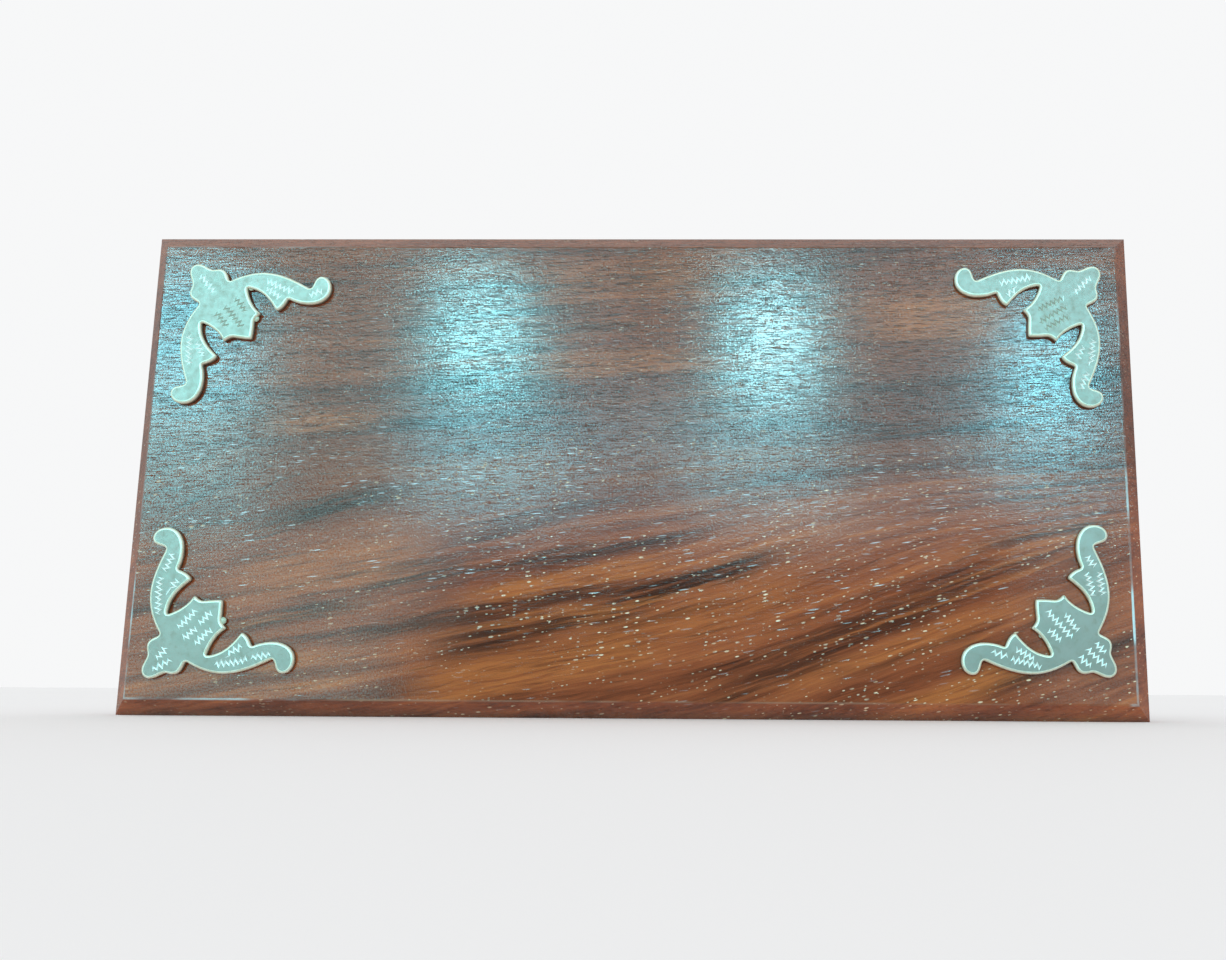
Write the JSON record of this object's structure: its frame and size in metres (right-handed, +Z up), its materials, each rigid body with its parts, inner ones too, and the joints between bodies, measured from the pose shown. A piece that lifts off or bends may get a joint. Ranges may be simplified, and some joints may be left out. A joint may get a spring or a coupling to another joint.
{
  "type": "wall award plaque",
  "caption": "Landscape wooden award plaque with chamfered edges, engraved metal corner ornaments and swinging D-ring wall hangers",
  "frame": {"origin": "on the wall plane, midway between the two wall hooks, at the height where the hooks bear on the rings", "axes": "+X to the right seen from the front, +Y into the wall, +Z up"},
  "size_m": [0.3, 0.0238, 0.147],
  "materials": {
    "rosewood": "high-gloss clear lacquer over dark streaked rosewood",
    "silvered_brass": "silver-plated brass stamping, satin, with bright engraved zig-zag lines",
    "zinc_plated_steel": "bright zinc plate",
    "nickel_plated_wire": "nickel plate",
    "grey_rubber": "matt moulded rubber"
  },
  "bodies": {
    "plaque": {"board": "rosewood", "corner_ornament_top_left": "silvered_brass", "corner_ornament_top_right": "silvered_brass", "corner_ornament_bottom_left": "silvered_brass", "corner_ornament_bottom_right": "silvered_brass", "hanger_strap_left": "zinc_plated_steel", "hanger_screw_left": "zinc_plated_steel", "hanger_strap_right": "zinc_plated_steel", "hanger_screw_right": "zinc_plated_steel", "bumper_top_left": "grey_rubber", "bumper_top_right": "grey_rubber", "bumper_bottom_left": "grey_rubber", "bumper_bottom_right": "grey_rubber"},
    "left_ring": {"hanger_ring_left": "nickel_plated_wire"},
    "right_ring": {"hanger_ring_right": "nickel_plated_wire"}
  },
  "joints": [
    {"name": "left_ring_swing", "type": "hinge", "parent": "plaque", "child": "left_ring", "pos_m": [-0.09, -0.002, -0.0092], "axis": [-1, 0, 0], "range_deg": [0, 178]},
    {"name": "right_ring_swing", "type": "hinge", "parent": "plaque", "child": "right_ring", "pos_m": [0.09, -0.002, -0.0092], "axis": [-1, 0, 0], "range_deg": [0, 178]}
  ]
}
